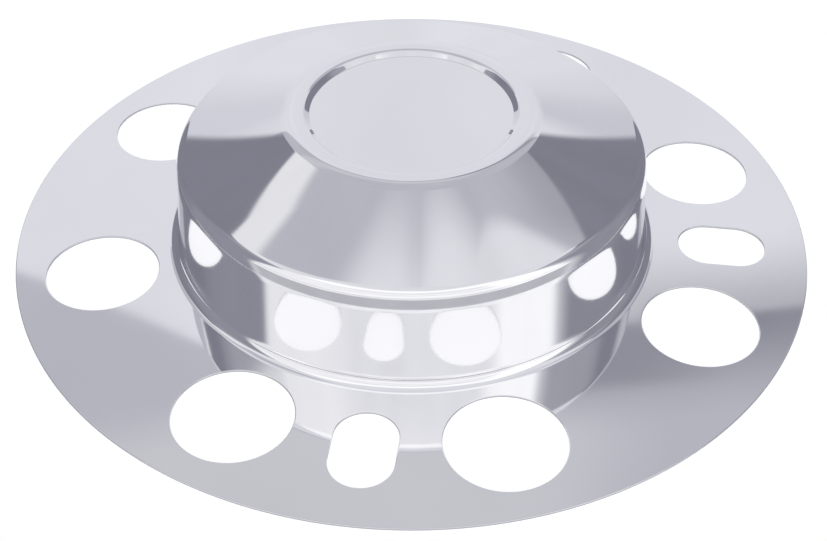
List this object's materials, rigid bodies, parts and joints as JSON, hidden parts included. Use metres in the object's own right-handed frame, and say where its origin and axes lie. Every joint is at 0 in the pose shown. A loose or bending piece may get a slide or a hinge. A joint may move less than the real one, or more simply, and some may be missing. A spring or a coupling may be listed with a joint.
{
  "type": "axle hub cover",
  "caption": "Polished sheet-metal axle hub cover: a domed round hub with a recessed crown on a flat flange with lug-nut holes and radial slots, for a truck wheel.",
  "frame": {"origin": "centre of the flange's back face, on the axle's axis", "axes": "+Z along the axle, outwards through the crown; +X through one slot and -Y through the other"},
  "size_m": [0.348, 0.348, 0.062],
  "materials": {
    "polished_steel": "mirror-polished stainless steel sheet"
  },
  "bodies": {
    "root": {"hub_cover": "polished_steel"}
  },
  "joints": []
}
